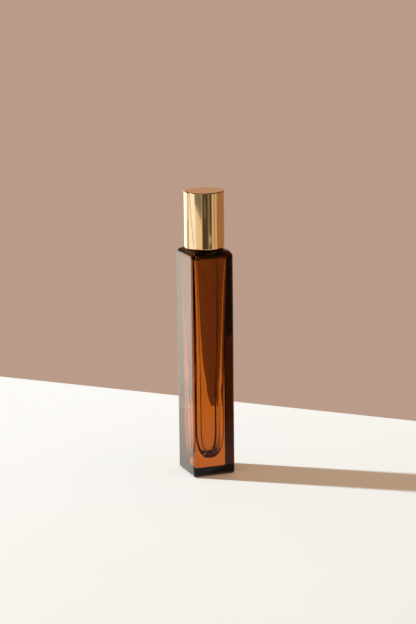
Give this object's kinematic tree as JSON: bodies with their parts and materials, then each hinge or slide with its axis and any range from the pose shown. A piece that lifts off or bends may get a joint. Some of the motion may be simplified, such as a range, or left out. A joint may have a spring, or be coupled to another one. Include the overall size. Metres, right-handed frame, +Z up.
{
  "type": "roll-on bottle",
  "caption": "Tall square thick-glass roll-on bottle: steel applicator ball in a push-in housing under a round metal-sheathed screw cap that turns and lifts off.",
  "frame": {"origin": "under the middle of the base, on the surface that the bottle stands on", "axes": "+Z up along the bottle's axis towards the cap; +X and +Y square to two neighbouring faces"},
  "size_m": [0.019, 0.019, 0.1239],
  "materials": {
    "amber_glass": "thick clear glass with a glossy transparent amber coat on its outside",
    "housing_plastic": "natural polyethylene moulding",
    "ball_steel": "polished stainless steel",
    "disc_plastic": "plain white polyethylene disc",
    "liner_plastic": "white polypropylene moulding",
    "gold_shell": "polished aluminium, anodised light gold"
  },
  "bodies": {
    "bottle": {"glass_bottle": "amber_glass", "roller_housing": "housing_plastic"},
    "roller": {"roller_ball": "ball_steel"},
    "disc": {"sealing_disc": "disc_plastic"},
    "cap": {"cap_liner": "liner_plastic", "cap_shell": "gold_shell"}
  },
  "joints": [
    {"name": "ball_roll", "type": "hinge", "parent": "bottle", "child": "roller", "pos_m": [0, 0, 0.1145], "axis": [1, 0, 0], "continuous": true},
    {"name": "cap_lift", "type": "slide", "parent": "bottle", "child": "disc", "axis": [0, 0, 1], "range_m": [0, 0.03]},
    {"name": "cap_turn", "type": "hinge", "parent": "disc", "child": "cap", "pos_m": [0, 0, 0.1198], "axis": [0, 0, 1], "range_deg": [0, 720]}
  ]
}
